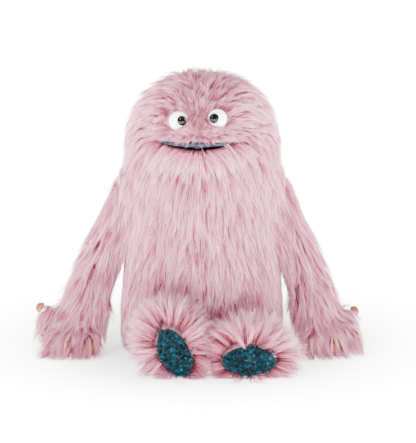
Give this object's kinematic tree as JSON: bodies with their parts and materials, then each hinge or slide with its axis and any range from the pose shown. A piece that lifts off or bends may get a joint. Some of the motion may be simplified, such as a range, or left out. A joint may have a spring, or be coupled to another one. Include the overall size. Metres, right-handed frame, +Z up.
{
  "type": "moving mouth puppet",
  "caption": "Seated long-pile pink fur hand puppet with a working mouth, plain plastic eyes, soft arms with yellow nails and legs with teal boucle soles",
  "frame": {"origin": "The middle of the sleeve's opening, on the surface that the puppet sits on", "axes": "+X is the puppet's left, -Y is its front, +Z is up"},
  "size_m": [0.4127, 0.262, 0.366],
  "materials": {
    "fur": "long pile faux fur",
    "sole_boucle": "curly boucle pile",
    "mouth_satin": "smooth satin",
    "sleeve_cloth": "knitted tricot lining",
    "seat_cloth": "short nap",
    "pellet_cloth": "plain calico",
    "fibre_fill": "loose polyester fibre",
    "nail_felt": "smooth imitation leather",
    "mouth_board": "matte",
    "eye_white": "gloss",
    "pupil_black": "high gloss",
    "washer_plastic": "moulded"
  },
  "bodies": {
    "torso": {"body_fur_front": "fur", "body_fur_back": "fur", "throat_fur": "fur", "nape_fur": "fur", "seat_panel": "seat_cloth", "sleeve_lining": "sleeve_cloth", "sleeve_hem": "sleeve_cloth", "body_stuffing": "fibre_fill", "pellet_bag_left": "pellet_cloth", "pellet_bag_right": "pellet_cloth"},
    "head": {"face_fur": "fur", "head_back_fur": "fur", "muzzle_fur": "fur", "head_stuffing": "fibre_fill", "finger_pocket": "sleeve_cloth", "upper_mouth_board": "mouth_board", "upper_mouth_lining": "mouth_satin", "mouth_fold": "mouth_satin", "eye_white_left": "eye_white", "eye_white_right": "eye_white", "pupil_left": "pupil_black", "pupil_right": "pupil_black", "eye_washer_left": "washer_plastic", "eye_washer_right": "washer_plastic"},
    "jaw": {"chin_fur": "fur", "chin_stuffing": "fibre_fill", "thumb_pocket": "sleeve_cloth", "lower_mouth_board": "mouth_board", "lower_mouth_lining": "mouth_satin"},
    "arm_left": {"arm_fur_left": "fur", "arm_stuffing_left": "fibre_fill"},
    "hand_left": {"hand_fur_left": "fur", "hand_stuffing_left": "fibre_fill", "thumb_nail_left": "nail_felt", "finger_nail_1_left": "nail_felt", "finger_nail_2_left": "nail_felt", "finger_nail_3_left": "nail_felt"},
    "leg_left": {"leg_fur_left": "fur", "foot_fur_left": "fur", "leg_stuffing_left": "fibre_fill", "sole_left": "sole_boucle"},
    "arm_right": {"arm_fur_right": "fur", "arm_stuffing_right": "fibre_fill"},
    "hand_right": {"hand_fur_right": "fur", "hand_stuffing_right": "fibre_fill", "thumb_nail_right": "nail_felt", "finger_nail_1_right": "nail_felt", "finger_nail_2_right": "nail_felt", "finger_nail_3_right": "nail_felt"},
    "leg_right": {"leg_fur_right": "fur", "foot_fur_right": "fur", "leg_stuffing_right": "fibre_fill", "sole_right": "sole_boucle"}
  },
  "joints": [
    {"name": "head_tilt", "type": "hinge", "parent": "torso", "child": "head", "pos_m": [0, -0.025, 0.287], "axis": [-1, 0, 0], "range_deg": [0, 30], "deforming": ["nape_fur"]},
    {"name": "jaw_open", "type": "hinge", "parent": "torso", "child": "jaw", "pos_m": [0, -0.025, 0.287], "axis": [1, 0, 0], "range_deg": [0, 30], "deforming": ["throat_fur"]},
    {"name": "shoulder_left", "type": "hinge", "parent": "torso", "child": "arm_left", "pos_m": [0.093, -0.025, 0.214], "axis": [0, -1, 0], "range_deg": [0, 80]},
    {"name": "shoulder_right", "type": "hinge", "parent": "torso", "child": "arm_right", "pos_m": [-0.093, -0.025, 0.214], "axis": [0, 1, 0], "range_deg": [0, 80]},
    {"name": "wrist_left", "type": "hinge", "parent": "arm_left", "child": "hand_left", "pos_m": [0.144, -0.035, 0.064], "axis": [0, -1, 0], "range_deg": [-10, 40]},
    {"name": "wrist_right", "type": "hinge", "parent": "arm_right", "child": "hand_right", "pos_m": [-0.15, -0.035, 0.064], "axis": [0, 1, 0], "range_deg": [-10, 40]},
    {"name": "hip_left", "type": "hinge", "parent": "torso", "child": "leg_left", "pos_m": [0.052, -0.091, 0.036], "axis": [-1, 0, 0], "range_deg": [-75, 20]},
    {"name": "hip_right", "type": "hinge", "parent": "torso", "child": "leg_right", "pos_m": [-0.041, -0.091, 0.036], "axis": [-1, 0, 0], "range_deg": [-75, 20]}
  ]
}
